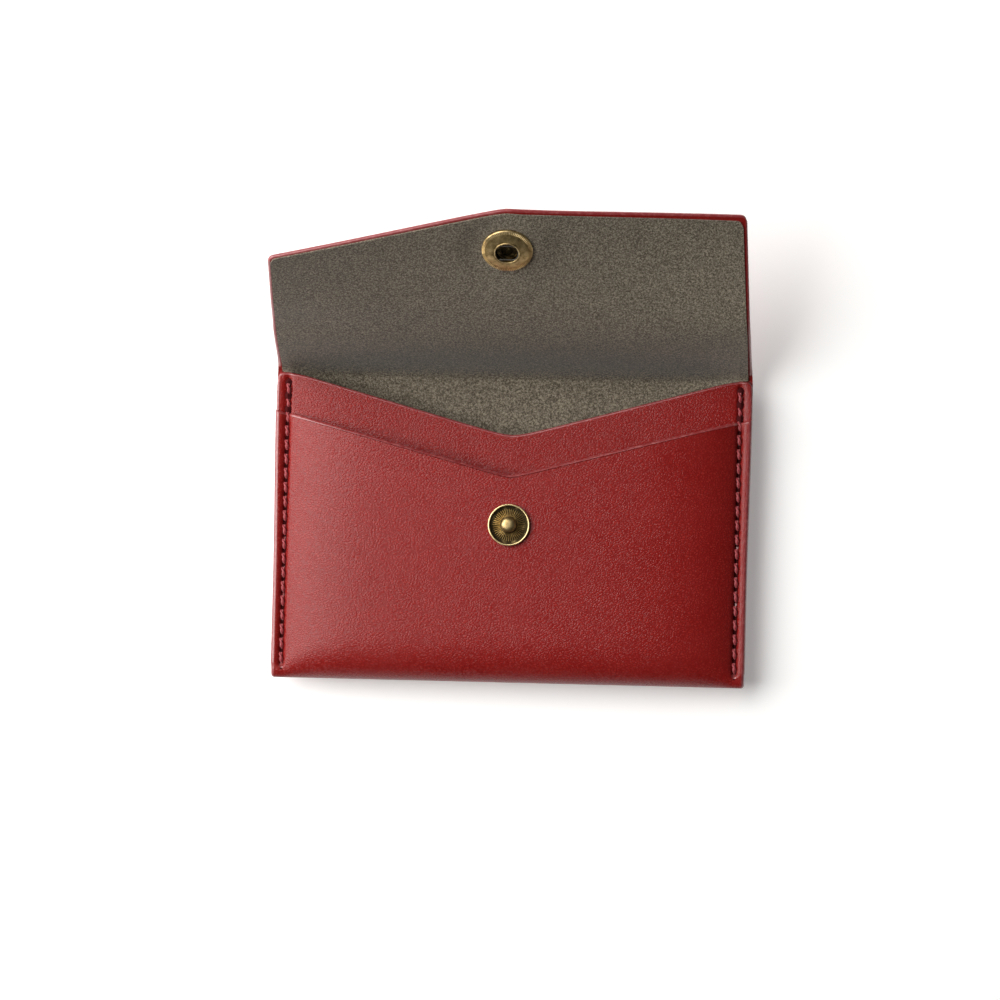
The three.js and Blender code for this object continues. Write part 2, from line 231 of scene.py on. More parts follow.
def leatherFinish():
    look = leatherLook
    leather = Finish("redLeather")
    drift = leather.node("ShaderNodeTexNoise", None,
                         {"Vector": leather.place, "Scale": 1 / look["wanderSize"]}, "Color")
    bent = leather.node("ShaderNodeVectorMath", {"operation": "MULTIPLY_ADD"},
                        {0: drift, 1: (look["wander"],) * 3, 2: leather.place})
    scale = (1 / look["grainLength"], 1 / look["grainWidth"], 1 / look["grainWidth"])
    turned = leather.node("ShaderNodeMapping", None,
                          {"Vector": bent, "Rotation": (0, 0, look["grainTurn"]), "Scale": scale})
    cells = leather.node("ShaderNodeTexVoronoi", {"feature": "DISTANCE_TO_EDGE"},
                         {"Vector": turned, "Scale": 1.0}, "Distance")
    fine = leather.noise(look["fine"])
    patches = leather.noise(look["patches"])
    pebble = leather.node("ShaderNodeMapRange", {"interpolation_type": "SMOOTHSTEP"},
                          {"Value": cells, "From Max": look["pebbleEdge"]})
    height = pebble * (1 - look["fineShare"]) + fine * look["fineShare"]
    # painted shade: a darker colour in the grain's creases
    colour = leather.mix(leather.shareRamp(cells, look["creaseShadeShare"]), look["body"], look["crease"])
    # painted highlight: a lighter colour on the tops of the grain
    ridgeHighlightMask = leather.shareRamp(cells + fine * look["fineShare"], look["ridgeHighlightShare"])
    colour = leather.mix(ridgeHighlightMask, colour, look["ridgeHighlight"])
    colour = leather.mix(leather.shareRamp(patches, look["patchWear"]), colour, look["worn"])
    rough = look["roughness"] + (fine - 0.5) * look["fineRough"] + (patches - 0.5) * look["patchRough"]
    return leather.surface(Base_Color=colour, Roughness=rough, Specular_IOR_Level=look["specular"],
                           Normal=leather.bump(height, look["grainDepth"], look["grainBump"]))


edgeLook = {
    "paint": (0.25, 0.024, 0.026),
    # rubbed edge paint, made paler than wear alone: real wear and painted highlight
    "rubbedAndSheen": (0.46, 0.150, 0.142),
    "streaks": (0.9 * mm, 3.0, 0.6),
    "fine": (0.2 * mm, 2.0, 0.6),
    "shareRamp": [(0.45, 0), (0.8, 0.7)],
    "roughness": 0.24,
    "fineRough": 0.15,
    "specular": 1.0,
    "depth": 0.05 * mm,
    "bump": 0.5,
}


def edgeFinish():
    look = edgeLook
    edge = Finish("paintedEdge")
    streaks = edge.noise(look["streaks"])
    fine = edge.noise(look["fine"])
    # streaks of real wear, also lightened as a painted highlight on the edges
    colour = edge.mix(edge.shareRamp(streaks, look["shareRamp"]), look["paint"], look["rubbedAndSheen"])
    rough = look["roughness"] + fine * look["fineRough"]
    return edge.surface(Base_Color=colour, Roughness=rough, Specular_IOR_Level=look["specular"],
                        Normal=edge.bump(fine + streaks, look["depth"], look["bump"]))


liningLook = {
    "flecks": [
        (0.41, (0.056, 0.046, 0.032)),
        (0.50, (0.140, 0.118, 0.086)),
        (0.59, (0.300, 0.258, 0.192)),
    ],
    "nap": (0.42 * mm, 3.0, 0.7),
    "fibre": (0.42 * mm / 2.2, 2.0, 0.7),
    "brushed": (7 * mm, 3.0, 0.55),
    "fibreShare": 0.4,
    "tone": [(0.3, 0.94), (0.7, 1.04)],
    "roughness": 0.92,
    "specular": 0.2,
    "sheen": 0.25,
    "sheenRough": 0.5,
    "depth": 0.12 * mm,
    "bump": 0.7,
}


def liningFinish():
    look = liningLook
    suede = Finish("greyMicrosuede")
    nap = suede.noise(look["nap"])
    fibre = suede.noise(look["fibre"])
    brushed = suede.noise(look["brushed"])
    fleck = nap * (1 - look["fibreShare"]) + fibre * look["fibreShare"]
    colour = suede.mix(1.0, suede.ramp(fleck, look["flecks"]), suede.shareRamp(brushed, look["tone"]), "MULTIPLY")
    return suede.surface(Base_Color=colour, Roughness=look["roughness"], Specular_IOR_Level=look["specular"],
                         Sheen_Weight=look["sheen"], Sheen_Roughness=look["sheenRough"],
                         Normal=suede.bump(fleck, look["depth"], look["bump"]))


# painted shade: a dark colour in the needle holes, where shade falls
holeShadeLook = {"colour": (0.055, 0.005, 0.006), "roughness": 0.9, "specular": 0.1}


def holeShadeFinish():
    look = holeShadeLook
    return Finish("paintedHoleShade").surface(Base_Color=look["colour"], Roughness=look["roughness"],
                                      Specular_IOR_Level=look["specular"])


threadLook = {
    "body": (0.25, 0.022, 0.028),
    "light": (0.44, 0.075, 0.085),
    "strands": (0.12 * mm, 2.0, 0.6),
    "shareRamp": [(0.4, 0), (0.7, 1)],
    "roughness": 0.45,
    "sheen": 0.3,
    "sheenRough": 0.4,
    "depth": 0.04 * mm,
    "bump": 0.6,
}


def threadFinish():
    look = threadLook
    thread = Finish("redThread")
    strands = thread.noise(look["strands"])
    colour = thread.mix(thread.shareRamp(strands, look["shareRamp"]), look["body"], look["light"])
    return thread.surface(Base_Color=colour, Roughness=look["roughness"],
                          Sheen_Weight=look["sheen"], Sheen_Roughness=look["sheenRough"],
                          Normal=thread.bump(strands, look["depth"], look["bump"]))


brassLook = {
    "tones": [
        # the darkest tone is patina, and also painted shade in the recesses and holes
        (0.05, (0.032, 0.022, 0.010)),
        (0.45, (0.370, 0.265, 0.115)),
        (0.95, (0.800, 0.620, 0.320)),
    ],
    "cloud": (1.1 * mm, 3.0, 0.6),
    "speck": (0.16 * mm, 2.0, 0.6),
    "cloudWear": 1.1,
    "speckWear": 0.4,
    "roughness": 0.52,
    "rubRough": 0.2,
    "speckRough": 0.15,
    "depth": 0.02 * mm,
    "bump": 0.5,
}


# the attribute says how bright each stretch is: 0 in the recesses, dark with patina and also with painted
# shade, and 1 on what stands proud, worn bright
def brassFinish():
    look = brassLook
    brass = Finish("antiqueBrass")
    rub = brass.node("ShaderNodeAttribute", {"attribute_name": "rub"}, None, "Fac")
    cloud = brass.noise(look["cloud"])
    speck = brass.noise(look["speck"])
    worn = rub + (cloud - 0.5) * look["cloudWear"] + (speck - 0.5) * look["speckWear"]
    rough = look["roughness"] - rub * look["rubRough"] + (speck - 0.5) * look["speckRough"]
    return brass.surface(Base_Color=brass.ramp(worn, look["tones"]), Metallic=1.0, Roughness=rough,
                         Normal=brass.bump(speck, look["depth"], look["bump"]))


wireLook = {
    "body": (0.045, 0.043, 0.040),
    "light": (0.16, 0.15, 0.13),
    "drawn": (0.25 * mm, 2.0, 0.5),
    "roughness": 0.35,
    "drawnRough": 0.2,
}


def springFinish():
    look = wireLook
    wire = Finish("darkSpringWire")
    drawn = wire.noise(look["drawn"])
    colour = wire.mix(drawn, look["body"], look["light"])
    rough = look["roughness"] + drawn * look["drawnRough"]
    return wire.surface(Base_Color=colour, Metallic=1.0, Roughness=rough)


redLeather = leatherFinish()
paintedEdge = edgeFinish()
paintedHoleShade = holeShadeFinish()
greyMicrosuede = liningFinish()
redThread = threadFinish()
antiqueBrass = brassFinish()
darkWire = springFinish()
print("materials made:", len(bpy.data.materials))


# places in a sheet's list of materials
edgeSlot = 1
holeShadeSlot = 2
sharpFrom = {"sheet": math.radians(40), "turned": math.radians(38)}


def newPiece(name, points, faces, materials):
    mesh = bpy.data.meshes.new(name)
    mesh.from_pydata([tuple(p) for p in points], [], faces)
    mesh.shade_smooth()
    for material in materials:
        mesh.materials.append(material)
    piece = bpy.data.objects.new(name, mesh)
    bpy.context.scene.collection.objects.link(piece)
    return piece


# the piece's mesh as its modifiers leave it
def settle(piece):
    depsgraph = bpy.context.evaluated_depsgraph_get()
    mesh = bpy.data.meshes.new_from_object(piece.evaluated_get(depsgraph))
    piece.modifiers.clear()
    piece.data = mesh


def fitOne(piece, body, node):
    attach(piece, body)
    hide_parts(node)


cutEdge = {"squareFrom": 1.0, "segments": 5, "easeRows": 12}


# round the cut edges and paint them; a joined sheet keeps its last row square, where the next carries on
def roundEdges(piece, rows, rounding):
    mesh = bmesh.new()
    mesh.from_mesh(piece.data)
    half = len(mesh.verts) // 2
    weight = mesh.edges.layers.float.new("bevel_weight_edge")
    for edge in mesh.edges:
        row = min(v.index % half % rows for v in edge.verts)
        square = len(edge.link_faces) == 2 and edge.calc_face_angle() > cutEdge["squareFrom"]
        joined = rounding["joined"] and row == rows - 1
        inside = row < rounding["insideFrom"] and any(v.index >= half for v in edge.verts)
        if square and not joined and not inside:
            past = smooth((row - rounding["insideFrom"]) / cutEdge["easeRows"])
            edge[weight] = 1 + (rounding["endShare"] - 1) * past
    mesh.to_mesh(piece.data)
    mesh.free()
    bevel = piece.modifiers.new("rounding", "BEVEL")
    bevel.limit_method = "WEIGHT"
    bevel.width = rounding["radius"]
    bevel.segments = cutEdge["segments"]
    bevel.material = edgeSlot
    bevel.use_clamp_overlap = False
    settle(piece)


# a sheet from a grid: place(across, station) gives the visible skin, and the thickness goes behind it
def sheetPiece(name, across, stations, place, thickness, materials, flipped=False, rounding=None):
    points = [place(a, s) for a in across for s in stations]
    rows = len(stations)
    faces = []
    marks = []
    for i in range(len(across) - 1):
        for j in range(rows - 1):
            corner = i * rows + j
            face = (corner, corner + 1, corner + rows + 1, corner + rows)
            faces.append(face[::-1] if flipped else face)
            middle = sum((points[k] for k in face), Vector()) / 4
            # faces in a needle hole get the painted hole shade
            marks.append(holeShadeSlot if len(materials) > holeShadeSlot and needleHole(middle) else 0)
    piece = newPiece(name, points, faces, materials)
    piece.data.polygons.foreach_set("material_index", marks)
    wall = piece.modifiers.new("thickness", "SOLIDIFY")
    wall.thickness = thickness
    wall.offset = -1
    wall.use_even_offset = True
    wall.material_offset_rim = min(edgeSlot, len(materials) - 1)
    settle(piece)
    if rounding:
        roundEdges(piece, rows, rounding)
    piece.data.shade_smooth()
    piece.data.set_sharp_from_angle(angle=sharpFrom["sheet"])
    return piece


pocket = {
    "frontCorner": 61.4 * mm,       # heights above the bottom
    "frontNotch": 47.0 * mm,
    "dividerNotch": 56.5 * mm,
    "dividerFlat": 5.5 * mm,
    "dividerLift": 0.6 * mm,
    "dividerBlend": 1.2 * mm,
    "frontTurn": 0.9 * mm,          # rounding of each notch's point
    "dividerTurn": 2.5 * mm,
    "cornerRound": 1.25 * mm,
    "swellEdge": 51.6 * mm,         # where the filled pocket starts to swell, from the middle
    "crown": 0.16,                  # share of the swell that is a long, slow curve
    "frontPower": 7,
    "backPower": 14,
    "backTopPower": 6,
    "backTopReach": 20 * mm,
    "foldReach": 10.5 * mm,         # how far up the front the bottom's turn begins
    "foldRound": 2.25,
    "foldSag": 0.35 * mm,
    "dividerSwell": 0.9 * mm,
    "liningEdge": 48.8 * mm,
    "liningSpread": 0.1,            # share of the rise in which the lining widens
    "liningRows": 4,                # it needs one row in this many on the front and back
    "riseOut": 4.2 * mm,            # how the leather swings out behind the pockets and up into the flap
    "riseBack": 10.0 * mm,
    "joinReach": 9.0 * mm,          # the flap's own sheet starts here
    "bendBelow": 9.5 * mm,          # the bend's reach on each side of the crease
    "bendAbove": 8.0 * mm,
}
seam = {
    "inset": 2.0 * mm,
    "pitch": 3.26 * mm,
    "threadWidth": 0.6 * mm,
    "valley": 0.6 * mm,
    "valleyWidth": 0.6 * mm,
    "valleyReach": 2.4 * mm,
    "flare": 0.30 * mm,
    "backFlare": 0.10 * mm,
    "dividerFlare": 0.18 * mm,
    "dimple": 0.6 * mm,             # needle holes, longer than wide
    "dimpleWidth": 0.42 * mm,
    "dimpleLength": 0.75 * mm,
    # size of the painted shade round each hole
    "holeWidth": 0.46 * mm,
    "holeLength": 0.72 * mm,
    "fade": 2.2 * mm,
    "threadLift": 0.05 * mm,
    "spread": 0.3 * mm,             # the margin's extra width at the bottom and at the top
    "spreadTop": 0.75 * mm,
    "spreadFrom": -15 * mm,
    "spreadRun": 45 * mm,
}
stitchX = halfWidth - seam["inset"]
firstHole = threadLow.y + seam["threadWidth"] / 2
holeCount = round((threadHigh.y - threadLow.y - seam["threadWidth"]) / seam["pitch"]) + 1
holes = [firstHole + k * seam["pitch"] for k in range(holeCount)]


def nearestHole(y):
    return holes[min(max(round((y - firstHole) / seam["pitch"]), 0), holeCount - 1)]


# whether this spot of a sewn margin lies in a needle hole
def needleHole(spot):
    off = (abs(spot.x) - stitchX) / seam["holeWidth"]
    if abs(off) > 1:
        return False
    return math.hypot(off, (spot.y - nearestHole(spot.y)) / seam["holeLength"]) < 1


# how full the pocket is at x: 1 in the middle and 0 at the seam, where the leather is drawn down hardest
def fullness(x, crown, power):
    share = min(abs(x) / pocket["swellEdge"], 1.0)
    return 1 - crown * share ** 2 - (1 - crown) * share ** power


def frontWall(x):
    full = fullness(x, pocket["crown"], pocket["frontPower"])
    return middleZ + seamHalf + (middleZ - seamHalf) * full


def backWall(x, y):
    reach = pocket["backTopReach"]
    power = pocket["backPower"]
    power += (pocket["backTopPower"] - power) * smooth((y - topY + reach) / reach)
    return (middleZ - seamHalf) * (1 - fullness(x, 0.0, power))


# the sewn margin lies a little wider than its pattern, most at the top
def spreadOut(x, y):
    upward = smooth((y - seam["spreadFrom"]) / seam["spreadRun"])
    extra = seam["spread"] + (seam["spreadTop"] - seam["spread"]) * upward
    return x + math.copysign(extra * clamp((abs(x) - stitchX) / seam["inset"]), x)


# sewn margin: a valley along the stitches, a dimple at each hole, and an edge that stands up a little
def seamRelief(x, y, flare, top):
    off = abs(x) - stitchX
    if off < -seam["valleyReach"]:
        return 0.0
    ends = smooth((y - bottomY - sheets["leather"]) / seam["fade"]) * smooth((top - y) / seam["fade"])
    lift = flare * smooth(off / (halfWidth - stitchX))
    valley = seam["valley"] * bell(off, seam["valleyWidth"])
    dimple = seam["dimple"] * bell(off, seam["dimpleWidth"])
    dimple *= bell(y - nearestHole(y), seam["dimpleLength"])
    return ends * (lift - valley - dimple)


def notchEdge(x, low, high, reach, turn):
    return bottomY + low + (high - low) / reach * (math.hypot(x, turn) - turn)


def frontEdge(x):
    return notchEdge(x, pocket["frontNotch"], pocket["frontCorner"], halfWidth, pocket["frontTurn"])


def softLower(a, b, blend):
    share = clamp(0.5 + (b - a) / (2 * blend))
    return b + (a - b) * share - blend * share * (1 - share)


def roundedCorner(x, limit, radius):
    into = abs(x) - (limit - radius)
    if into <= 0:
        return 0.0
    return radius - math.sqrt(max(radius ** 2 - into ** 2, 0.0))


def dividerEdge(x):
    shoulder = halfWidth - pocket["dividerFlat"]
    top = dividerHigh.y + pocket["dividerLift"]
    slope = notchEdge(x, pocket["dividerNotch"], top - bottomY, shoulder, pocket["dividerTurn"])
    high = softLower(slope, top, pocket["dividerBlend"])
    return high - roundedCorner(x, halfWidth, pocket["cornerRound"])


flapShape = {
    "tipReach": 10.8 * mm,          # from the socket's middle
    "tipSlope": math.radians(9),
    "tipRound": 0.8 * mm,
    "taper": 1.0 * mm,
    "rootSpread": 0.75 * mm,
    "cornerRound": 1.4 * mm,
    "snapFlat": 6.6 * mm,           # the snap's ground stays flat
    "snapFlatEase": 5.0 * mm,
    "leftLift": 7.9 * mm,           # how far each corner stands off the flap's plane
    "rightLift": -9.4 * mm,
    "twistBend": 1.25,
    "twistEase": 7.0 * mm,
    "bowReach": 23.0 * mm,          # below this the flap bows back, so that its root rises steeply
    "bowDepth": 1.7 * mm,
    "closedKeep": 0.4,              # share of its relief that the closed flap keeps
}
flapTip = socketReach + flapShape["tipReach"]
flapCorner = flapTip - (halfWidth - flapShape["taper"]) * math.tan(flapShape["tipSlope"])


def flapHalfWidth(reach):
    spread = flapShape["rootSpread"]
    return halfWidth + spread - (flapShape["taper"] + spread) * max(reach, 0) / flapCorner


sheetGrid = {
    "middle": 42 * mm,
    "flank": 50.6 * mm,
    "foldedEdge": 0.85 * mm,        # the last column's width
    "plainEdge": 0.5 * mm,
    "columns": {"middle": 24, "flank": 18, "margin": 17},
    "rows": {"front": 150, "fold": 28, "back": 110, "rise": 40, "divider": 120, "flap": 70},
    "firstRow": 0.012,              # the first row's share of the sheet
    "flapFirstRow": 0.018,
}


# columns across a sheet, closest together along the sewn margins
def columns(edge):
    count = sheetGrid["columns"]
    right = spaced(0, sheetGrid["middle"], count["middle"])
    right += spaced(sheetGrid["middle"], sheetGrid["flank"], count["flank"])[1:]
    right += spaced(sheetGrid["flank"], halfWidth - edge, count["margin"])[1:] + [halfWidth]
    return [-x for x in reversed(right[1:])] + right


def edgeSteps(count, first):
    return [0.0] + spaced(first, 1.0, count)


# stations down the leather: front, bottom, back, and the rise behind the pockets to the flap's own sheet
def leatherStations():
    rows = sheetGrid["rows"]
    stations = [("front", t) for t in edgeSteps(rows["front"], sheetGrid["firstRow"])]
    for stretch in ("fold", "back", "rise"):
        stations += [(stretch, t) for t in spaced(0, 1, rows[stretch])[1:]]
    return stations


# the flap's bow near its root, and its slope
def rootBow(reach):
    span = flapShape["bowReach"] - pocket["joinReach"]
    short = max(flapShape["bowReach"] - reach, 0.0) / span
    return -flapShape["bowDepth"] * short ** 2, 2 * flapShape["bowDepth"] * short / span


# the flap's own sheet at this reach, this far off its middle
def bowedPoint(x, reach, level):
    bow, slope = rootBow(reach)
    long = math.hypot(1, slope)
    along = flapAlong * (reach - level * slope / long)
    return creasePoint + Vector((x, 0, 0)) + along + flapFacing * (bow + level / long)


# the leather's rise from the back into the flap: one smooth bend, and what lies deeper follows it
def risePoint(x, t, depth):
    start = Vector((0, topY, backWall(x, topY)))
    end = bowedPoint(0, pocket["joinReach"], -halfLined)
    upward = (flapAlong + flapFacing * rootBow(pocket["joinReach"])[1]).normalized()
    pullStart = start + Vector((0, pocket["riseOut"], 0))
    pullEnd = end - upward * pocket["riseBack"]
    k = 1 - t
    where = k ** 3 * start + 3 * k * k * t * pullStart + 3 * k * t * t * pullEnd + t ** 3 * end
    heading = k * k * (pullStart - start) + 2 * k * t * (pullEnd - pullStart) + t * t * (end - pullEnd)
    inward = Vector((0, -heading.z, heading.y)).normalized()
    rootX = spreadOut(x, topY)
    joinX = x * flapHalfWidth(pocket["joinReach"]) / halfWidth
    return where + inward * depth + Vector((rootX + (joinX - rootX) * t, 0, 0))


# one point of the folded sheet at x, this deep under its outer face
def foldedPoint(x, station, depth):
    stretch, t = station
    if stretch == "rise":
        return risePoint(x, t, depth)
    front, back = frontWall(x), backWall(x, bottomY)
    radius = (front - back) / 2
    reach = pocket["foldReach"] * radius / middleZ
    foldY = bottomY + reach
    if stretch == "front":
        y = frontEdge(x) + (foldY - frontEdge(x)) * t
        return Vector((spreadOut(x, y), y, front + seamRelief(x, y, seam["flare"], topY) - depth))
    if stretch == "fold":
        angle = math.pi * (0.5 + t)
        forward = abs(math.cos(angle)) ** (2 / pocket["foldRound"])
        upward = math.copysign(abs(math.sin(angle)) ** (2 / pocket["foldRound"]), math.sin(angle))
        foldX = spreadOut(x, foldY)
        low = foldY - (reach + pocket["foldSag"] - depth) * forward
        return Vector((foldX, low, back + radius + (radius - depth) * upward))
    y = foldY + (topY - foldY) * t
    relief = seamRelief(x, y, seam["backFlare"], topY)
    return Vector((spreadOut(x, y), y, backWall(x, y) - relief + depth))


riseRow = sum(stretch != "rise" for stretch, t in leatherStations())


# the rows from insideFrom on are rounded on both faces, and by this share of the radius in the end
walletRound = {"radius": 0.72 * mm, "joined": True, "insideFrom": riseRow + 9, "endShare": 0.64}
dividerRound = {"radius": 0.46 * mm, "joined": False, "insideFrom": 0, "endShare": 1.0}
flapRound = {"radius": 0.46 * mm, "joined": True, "insideFrom": 0, "endShare": 1.0}


def walletLeather():
    def place(x, station):
        return foldedPoint(x, station, 0.0)

    across = columns(sheetGrid["foldedEdge"])
    piece = sheetPiece("walletLeather", across, leatherStations(), place, sheets["leather"],
                       [redLeather, paintedEdge, paintedHoleShade], rounding=walletRound)
    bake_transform(piece)
    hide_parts("front_panel", "bottom_fold", "back_panel", "spine")


def walletLining():
    narrow = pocket["liningEdge"]
    wide = halfWidth - sheets["liningInset"]

    def place(share, station):
        stretch, t = station
        spread = smooth(t / pocket["liningSpread"]) if stretch == "rise" else 0.0
        x = share * (narrow + (wide - narrow) * spread)
        return foldedPoint(x, station, linedThickness)

    across = [x / halfWidth for x in columns(sheetGrid["foldedEdge"])]
    kept = [s for i, s in enumerate(leatherStations())
            if s[0] in ("fold", "rise") or i % pocket["liningRows"] == 1]
    piece = sheetPiece("walletLining", across, kept, place, sheets["lining"],
                       [greyMicrosuede], flipped=True)
    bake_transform(piece)
    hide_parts("front_lining", "fold_lining", "back_lining", "spine_lining")


def dividerPiece():
    low = dividerLow.y
    top = middleZ + sheets["divider"] / 2

    def place(x, t):
        high = dividerEdge(x)
        y = low + (high - low) * (1 - t)
        swell = pocket["dividerSwell"] * fullness(x, pocket["crown"], pocket["frontPower"])
        relief = seamRelief(x, y, seam["dividerFlare"], high)
        return Vector((spreadOut(x, y), y, top + swell + relief))

    rows = edgeSteps(sheetGrid["rows"]["divider"], sheetGrid["firstRow"])
    piece = sheetPiece("dividerLeather", columns(sheetGrid["plainEdge"]), rows, place, sheets["divider"],
                       [redLeather, paintedEdge, paintedHoleShade], rounding=dividerRound)
    fitOne(piece, "pocket_body", "divider_panel")


# how far the flap stands off its plane: nothing at its root and round the snap, most at the corners
def flapTwist(x, reach):
    ease = flapShape["twistEase"]
    past = max(reach - pocket["joinReach"], 0.0)
    run = past ** 2 / (2 * ease) if past < ease else past - ease / 2
    cornerRun = flapCorner - pocket["joinReach"] - ease / 2
    fromSnap = math.hypot(x, reach - socketReach) - flapShape["snapFlat"]
    clear = smooth(fromSnap / flapShape["snapFlatEase"])
    share = (abs(x) / (halfWidth - flapShape["taper"])) ** flapShape["twistBend"]
    corner = flapShape["leftLift"] if x < 0 else flapShape["rightLift"]
    return corner * share * clear * run / cornerRun


def flapTop(x, inset):
    tip = flapTip - inset
    turn = flapShape["tipRound"]
    slope = tip - math.tan(flapShape["tipSlope"]) * (math.hypot(x, turn) - turn)
    wide = halfWidth - flapShape["taper"] - inset
    return slope - roundedCorner(x, wide, flapShape["cornerRound"])


# the flap's own sheet, from its root at the join out to its tip
def flapSheet(name, inset, level, thickness, materials, flipped, rounding):
    root = pocket["joinReach"]

    def place(share, t):
        wide = halfWidth - flapShape["taper"] - inset
        high = flapTop(share * wide, inset)
        reach = high + (root - high) * t
        x = share * (flapHalfWidth(reach) - inset)
        return bowedPoint(x, reach, level + flapTwist(x, reach))

    across = [x / halfWidth for x in columns(sheetGrid["plainEdge"])]
    rows = edgeSteps(sheetGrid["rows"]["flap"], sheetGrid["flapFirstRow"])
    piece = sheetPiece(name, across, rows, place, thickness, materials, flipped, rounding)
    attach(piece, "flap")
    bowedPoint(0, root, -halfLined)
    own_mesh(piece)
    return piece


def flapPieces():
    leather = flapSheet("flapLeather", 0.0, -halfLined, sheets["leather"], [redLeather, paintedEdge],
                        True, flapRound)
    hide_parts("flap_panel")
    lining = flapSheet("flapLining", sheets["liningInset"], halfLined, sheets["lining"],
                       [greyMicrosuede], False, None)
    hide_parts("flap_lining")


walletLeather()
walletLining()
dividerPiece()
flapPieces()
print("leather and lining made")


# geometry nodes: make adds a node; its sockets take values, sockets or other nodes' first outputs
def nodeMaker(tree):
    def make(kind, settings=None, sockets=None):
        node = tree.nodes.new(kind)
        for key, value in (settings or {}).items():
            setattr(node, key, value)
        for key, value in (sockets or {}).items():
            source = value.outputs[0] if isinstance(value, bpy.types.Node) else value
            if isinstance(source, bpy.types.NodeSocket):
                tree.links.new(source, node.inputs[key])
            else:
                node.inputs[key].default_value = source
        return node
    return make


def maths(make, operation, first, second):
    return make("ShaderNodeMath", {"operation": operation}, {0: first, 1: second})


def newTree(name, inputs):
    tree = bpy.data.node_groups.new(name, "GeometryNodeTree")
    tree.interface.new_socket("Geometry", in_out="INPUT", socket_type="NodeSocketGeometry")
    for label, kind in inputs.items():
        tree.interface.new_socket(label, in_out="INPUT", socket_type="NodeSocket" + kind)
    tree.interface.new_socket("Geometry", in_out="OUTPUT", socket_type="NodeSocketGeometry")
    return tree, nodeMaker(tree)


def runTree(piece, tree, values):
    modifier = piece.modifiers.new("nodes", "NODES")
    modifier.node_group = tree
    for item in tree.interface.items_tree:
        if item.in_out == "INPUT" and item.name in values:
            modifier[item.identifier] = values[item.name]
    settle(piece)


stitch = {
    "Length": 2.15 * mm,
    "Strand": 0.27 * mm,
    "Coil": 0.19 * mm,
    "Arch": 0.5 * mm,
    "Turns": 0.8,
    "slant": math.radians(9),
    "steps": 14,
    "sides": 6,
}


# two twisted strands arched from hole to hole, set on every point of the row
def stitchTree():
    tree, make = newTree("stitchRow", {
        "Length": "Float", "Strand": "Float", "Coil": "Float", "Arch": "Float", "Turns": "Float",
        "Material": "Material"})
    given = make("NodeGroupInput").outputs
    spiral = make("GeometryNodeCurveSpiral", None, {
        "Resolution": stitch["steps"], "Rotations": given["Turns"], "Start Radius": given["Coil"],
        "End Radius": given["Coil"], "Height": given["Length"]})
    second = make("GeometryNodeTransform", None, {"Geometry": spiral, "Rotation": (0, 0, math.pi)})
    both = make("GeometryNodeJoinGeometry")
    tree.links.new(spiral.outputs[0], both.inputs[0])
    tree.links.new(second.outputs[0], both.inputs[0])
    laid = make("GeometryNodeTransform", None, {"Geometry": both, "Rotation": (0, math.pi / 2, 0)})
    parts = make("ShaderNodeSeparateXYZ", None, {0: make("GeometryNodeInputPosition")})
    share = maths(make, "DIVIDE", parts, given["Length"])
    hump = maths(make, "MULTIPLY", share, maths(make, "SUBTRACT", 1.0, share))
    full = maths(make, "MULTIPLY", hump, 4.0)   # the hump is a quarter high
    high = maths(make, "MULTIPLY", full, given["Arch"])
    back = maths(make, "MULTIPLY", given["Length"], -0.5)
    offset = make("ShaderNodeCombineXYZ", None, {0: back, 2: high})
    arched = make("GeometryNodeSetPosition", None, {"Geometry": laid, "Offset": offset})
    ring = make("GeometryNodeCurvePrimitiveCircle", None, {
        "Resolution": stitch["sides"], "Radius": given["Strand"]})
    tube = make("GeometryNodeCurveToMesh", None, {
        "Curve": arched, "Profile Curve": ring, "Fill Caps": True})
    turn = make("GeometryNodeInputNamedAttribute", {"data_type": "FLOAT_VECTOR"}, {"Name": "turn"})
    stretch = make("GeometryNodeInputNamedAttribute", {"data_type": "FLOAT_VECTOR"}, {"Name": "stretch"})
    row = make("GeometryNodeInstanceOnPoints", None, {
        "Points": given["Geometry"], "Instance": tube, "Rotation": turn, "Scale": stretch})
    real = make("GeometryNodeRealizeInstances", None, {"Geometry": row})
    soft = make("GeometryNodeSetShadeSmooth", None, {"Geometry": real})
    finish = make("GeometryNodeSetMaterial", None, {"Geometry": soft, "Material": given["Material"]})
    make("NodeGroupOutput", None, {"Geometry": finish})
    return tree


# height of the sewn surface under the thread at one hole
def holeHeight(side, y, onFront):
    x = side * stitchX
    between = y + seam["pitch"] / 2
    if not onFront:
        return backWall(x, y) - seamRelief(x, between, 0, topY) - seam["threadLift"]
    relief = seamRelief(x, between, 0, topY) + seam["threadLift"]
    if y < frontEdge(x):
        return frontWall(x) + relief
    return middleZ + sheets["divider"] / 2 + relief


def threadPiece(tree, name, node, side, onFront):
    up = 1 if onFront else -1
    points = [Vector((side * stitchX, y, holeHeight(side, y, onFront))) for y in holes]
    piece = newPiece(name, [(a + b) / 2 for a, b in zip(points, points[1:])], [], [redThread])
    turn = piece.data.attributes.new("turn", "FLOAT_VECTOR", "POINT")
    stretch = piece.data.attributes.new("stretch", "FLOAT_VECTOR", "POINT")
    for i, (a, b) in enumerate(zip(points, points[1:])):
        along = (b - a).normalized()
        across = Vector((0, 0, up)).cross(along).normalized()
        lean = Matrix.Rotation(up * stitch["slant"], 3, Vector((0, 0, up)))
        basis = lean @ Matrix((along, across, along.cross(across))).transposed()
        turn.data[i].vector = basis.to_euler()
        stretch.data[i].vector = ((b - a).length / seam["pitch"], 1, 1)
    runTree(piece, tree, {**stitch, "Material": redThread})
    fitOne(piece, "pocket_body", node)


stitchRow = stitchTree()
for sideName, side in (("left", -1), ("right", 1)):
    threadPiece(stitchRow, sideName + "FrontThread", sideName + "_front_thread", side, True)
    threadPiece(stitchRow, sideName + "BackThread", sideName + "_back_thread", side, False)
print("stitches made:", 4 * (holeCount - 1))


